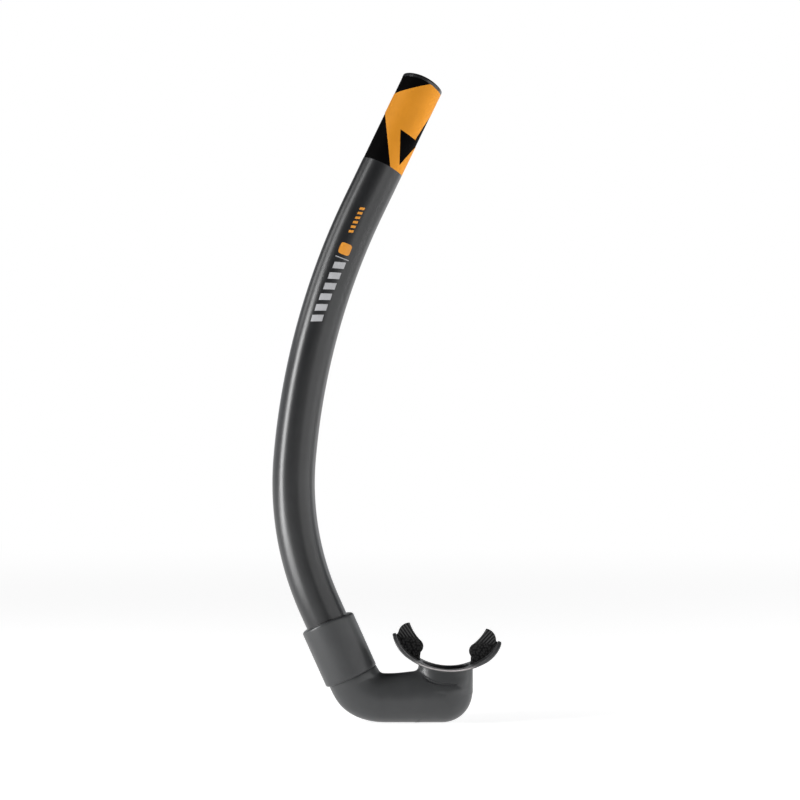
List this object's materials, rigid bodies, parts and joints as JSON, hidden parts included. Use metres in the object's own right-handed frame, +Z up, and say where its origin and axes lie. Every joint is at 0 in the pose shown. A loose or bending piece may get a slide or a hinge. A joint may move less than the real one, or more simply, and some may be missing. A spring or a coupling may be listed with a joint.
{
  "type": "snorkel tube",
  "caption": "J-shaped snorkel: curved open barrel with a colour band at its top, in a soft cuff and elbow mouthpiece with a curved lip flange and bite tabs.",
  "frame": {"origin": "bottom centre of the whole snorkel's box at rest, under the chamber", "axes": "+Z up along the snorkel, +X from the barrel towards the mouth, Y across the plane of symmetry"},
  "size_m": [0.1423, 0.0338, 0.4021],
  "materials": {
    "barrel_plastic": "satin dark grey",
    "black_film": "black film",
    "orange_foil": "orange foil",
    "grey_silicone": "matte grey soft moulding",
    "black_silicone": "matte black, rough"
  },
  "bodies": {
    "barrel_body": {"barrel": "barrel_plastic", "band_sleeve": "black_film", "band_foil": "orange_foil"},
    "mouthpiece_body": {"mouthpiece": "grey_silicone", "bite_tab_left": "black_silicone", "bite_tab_right": "black_silicone"}
  },
  "joints": [
    {"name": "mouthpiece_twist", "type": "hinge", "parent": "barrel_body", "child": "mouthpiece_body", "pos_m": [-0.02192, 0, 0.02867], "axis": [-0.4099, 0, 0.9121], "continuous": true}
  ]
}
